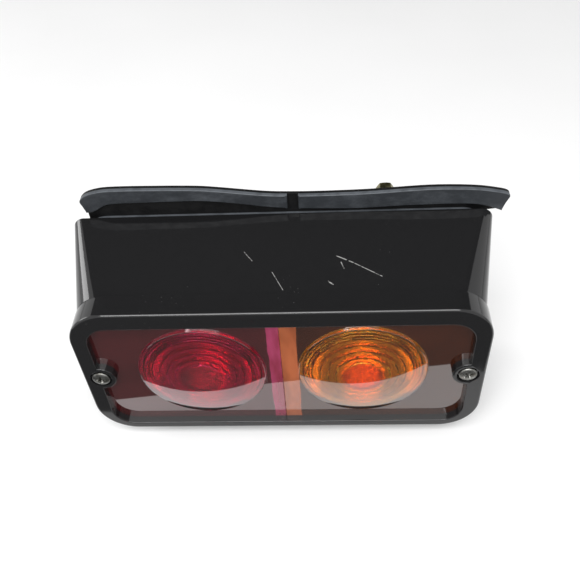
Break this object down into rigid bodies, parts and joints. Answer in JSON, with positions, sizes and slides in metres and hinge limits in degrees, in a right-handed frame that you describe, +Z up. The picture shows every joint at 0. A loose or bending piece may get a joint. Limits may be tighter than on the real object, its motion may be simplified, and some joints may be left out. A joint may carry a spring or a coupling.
{
  "type": "rear lamp cluster",
  "caption": "Rectangular vehicle rear lamp with a red and an amber domed lens in a black bezel and deep flared housing, rubber gasket and rear mounting studs.",
  "frame": {"origin": "centre of the flat rear face of the housing, which is the mounting plane", "axes": "the lens faces -Y and the studs point along +Y; +X is to the right seen from the lens side, where the amber lens is; +Z is up"},
  "size_m": [0.2198, 0.0998, 0.1215],
  "materials": {
    "housing_black": "glossy moulded, scratched",
    "bezel_black": "glossy moulded",
    "lens_red": "clear red acrylic",
    "lens_amber": "clear amber acrylic",
    "seal_rubber": "matte",
    "gasket_rubber": "matte, chalky",
    "screw_steel": "zinc plated",
    "stud_zinc": "yellow zinc plated",
    "partition_plastic": "moulded",
    "reflector_metal": "metallised",
    "holder_steel": "plated",
    "contact_board": "laminate",
    "bulb_brass": "satin",
    "bulb_glass": "clear",
    "terminal_plastic": "moulded",
    "lead_red": "wire insulation"
  },
  "bodies": {
    "root": {"housing": "housing_black", "bezel": "bezel_black", "lens_red": "lens_red", "lens_amber": "lens_amber", "lens_seal": "seal_rubber", "screw_left": "screw_steel", "screw_right": "screw_steel", "partition": "partition_plastic", "reflector_left": "reflector_metal", "reflector_right": "reflector_metal", "holder_left": "holder_steel", "holder_right": "holder_steel", "spring_left": "holder_steel", "spring_right": "holder_steel", "contact_left": "contact_board", "contact_right": "contact_board", "bulb_cap_left": "bulb_brass", "bulb_cap_right": "bulb_brass", "bulb_glass_left": "bulb_glass", "bulb_glass_right": "bulb_glass", "filament_left": "holder_steel", "filament_right": "holder_steel", "terminal_block": "terminal_plastic", "lead_left": "lead_red", "lead_right": "lead_red", "cable_grommet": "seal_rubber", "gasket": "gasket_rubber", "stud_left": "stud_zinc", "stud_right": "stud_zinc", "washer_left": "stud_zinc", "washer_right": "stud_zinc", "nut_left": "stud_zinc", "nut_right": "stud_zinc"}
  },
  "joints": []
}
